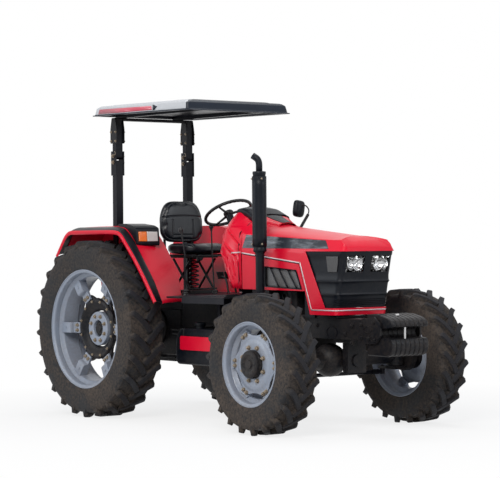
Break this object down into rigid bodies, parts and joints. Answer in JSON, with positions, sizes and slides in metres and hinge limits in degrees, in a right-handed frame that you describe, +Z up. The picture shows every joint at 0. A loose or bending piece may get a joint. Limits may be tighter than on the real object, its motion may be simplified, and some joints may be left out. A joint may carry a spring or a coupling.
{
  "type": "farm tractor",
  "caption": "Open-station four-wheel-drive farm tractor with a folding roll frame, sun canopy, tilting hood, front weights and a rear three-point hitch.",
  "frame": {"origin": "on the ground, midway along and across the machine", "axes": "+X forwards, +Y to the driver's left, +Z up"},
  "size_m": [4.0599, 1.9132, 2.6947],
  "materials": {
    "red_paint": "glossy",
    "black_paint": "satin",
    "wheel_silver": "satin",
    "cast_black": "satin",
    "tyre_rubber": "matte",
    "plastic_black": "matte",
    "seat_vinyl": "satin",
    "grip_plastic": "satin",
    "canopy_plastic": "satin",
    "lamp_lens": "glossy",
    "fender_lens": "glossy",
    "bare_steel": "satin"
  },
  "bodies": {
    "chassis": {"engine": "cast_black", "transmission_case": "cast_black", "lift_housing": "cast_black", "rear_axle_housings": "cast_black", "front_support": "cast_black", "front_axle": "cast_black", "radiator": "black_paint", "weight_carrier": "cast_black", "front_weights": "cast_black", "hood_hinge": "black_paint", "side_panels": "red_paint", "cowl": "red_paint", "firewall": "black_paint", "dash_cover": "plastic_black", "steering_column": "black_paint", "fenders": "red_paint", "fender_flares": "black_paint", "vent_screens": "black_paint", "fender_lamps": "fender_lens", "footboards": "black_paint", "deck_beams": "black_paint", "fuel_tank": "plastic_black", "tank_guard": "red_paint", "seat_base": "black_paint", "seat_cushion": "seat_vinyl", "seat_back": "seat_vinyl", "rops_posts": "black_paint", "exhaust_stack": "black_paint", "mirror": "plastic_black", "control_levers": "black_paint", "link_brackets": "cast_black", "drawbar": "black_paint", "pto_guard": "black_paint"},
    "hood": {"hood_shell": "red_paint", "front_grille": "plastic_black", "headlights": "lamp_lens"},
    "rops_top": {"rops_upper_posts": "black_paint", "rops_crossbar": "black_paint", "canopy_rails": "black_paint", "canopy": "canopy_plastic"},
    "knuckle_left": {"knuckle_left": "cast_black"},
    "knuckle_right": {"knuckle_right": "cast_black"},
    "track_rod": {"tie_rod": "black_paint"},
    "hand_wheel": {"steering_wheel": "grip_plastic"},
    "draught_links": {"lower_links": "black_paint"},
    "rockshaft": {"lift_arms": "cast_black"},
    "lift_rod_pair": {"lift_rods": "black_paint"},
    "pto": {"pto_shaft": "bare_steel"},
    "wheel_front_left": {"front_tyre_left": "tyre_rubber", "front_rim_left": "wheel_silver", "front_disc_left": "wheel_silver"},
    "wheel_rear_left": {"rear_tyre_left": "tyre_rubber", "rear_rim_left": "wheel_silver", "rear_disc_left": "cast_black"},
    "wheel_front_right": {"front_tyre_right": "tyre_rubber", "front_rim_right": "wheel_silver", "front_disc_right": "wheel_silver"},
    "wheel_rear_right": {"rear_tyre_right": "tyre_rubber", "rear_rim_right": "wheel_silver", "rear_disc_right": "cast_black"}
  },
  "joints": [
    {"name": "rear_left_spin", "type": "hinge", "parent": "chassis", "child": "wheel_rear_left", "pos_m": [-1.02, 0.784, 0.752], "axis": [0, 1, 0], "continuous": true},
    {"name": "rear_right_spin", "type": "hinge", "parent": "chassis", "child": "wheel_rear_right", "pos_m": [-1.02, -0.784, 0.752], "axis": [0, 1, 0], "continuous": true},
    {"name": "steer_left", "type": "hinge", "parent": "chassis", "child": "knuckle_left", "pos_m": [1.19, 0.6, 0.545], "axis": [0, 0, 1], "range_deg": [-40, 40]},
    {"name": "steer_right", "type": "hinge", "parent": "chassis", "child": "knuckle_right", "pos_m": [1.19, -0.6, 0.545], "axis": [0, 0, 1], "range_deg": [-40, 40]},
    {"name": "track_rod_pivot", "type": "hinge", "parent": "knuckle_left", "child": "track_rod", "pos_m": [1.04, 0.6, 0.43], "axis": [0, 0, 1], "range_deg": [-40, 40]},
    {"name": "front_left_spin", "type": "hinge", "parent": "knuckle_left", "child": "wheel_front_left", "pos_m": [1.19, 0.7725, 0.545], "axis": [0, 1, 0], "continuous": true},
    {"name": "front_right_spin", "type": "hinge", "parent": "knuckle_right", "child": "wheel_front_right", "pos_m": [1.19, -0.7725, 0.545], "axis": [0, 1, 0], "continuous": true},
    {"name": "hand_wheel_turn", "type": "hinge", "parent": "chassis", "child": "hand_wheel", "pos_m": [-0.22, 0, 1.728], "axis": [-0.5, 0, 0.866], "range_deg": [-480, 480]},
    {"name": "hood_lift", "type": "hinge", "parent": "chassis", "child": "hood", "pos_m": [0.374, 0, 1.668], "axis": [0, -1, 0], "range_deg": [0, 50]},
    {"name": "rops_fold", "type": "hinge", "parent": "chassis", "child": "rops_top", "pos_m": [-1.31, 0, 2.241], "axis": [0, -1, 0], "range_deg": [0, 90]},
    {"name": "draught_link_lift", "type": "hinge", "parent": "chassis", "child": "draught_links", "pos_m": [-1.06, 0, 0.47], "axis": [0, 1, 0], "range_deg": [-14, 26]},
    {"name": "rockshaft_turn", "type": "hinge", "parent": "chassis", "child": "rockshaft", "pos_m": [-1.17, 0, 0.94], "axis": [0, 1, 0], "range_deg": [-19, 35]},
    {"name": "lift_rod_pivot", "type": "hinge", "parent": "rockshaft", "child": "lift_rod_pair", "pos_m": [-1.47, 0, 0.94], "axis": [0, 1, 0], "range_deg": [-34.5, 18.5]},
    {"name": "pto_spin", "type": "hinge", "parent": "chassis", "child": "pto", "pos_m": [-1.32, 0, 0.64], "axis": [-1, 0, 0], "continuous": true}
  ],
  "couplings": [
    {"joint": "steer_right", "follows": "steer_left", "ratio": 1},
    {"joint": "track_rod_pivot", "follows": "steer_left", "ratio": -1},
    {"joint": "hand_wheel_turn", "follows": "steer_left", "ratio": 12},
    {"joint": "rockshaft_turn", "follows": "draught_link_lift", "ratio": 1.33},
    {"joint": "lift_rod_pivot", "follows": "draught_link_lift", "ratio": -1.2976}
  ]
}
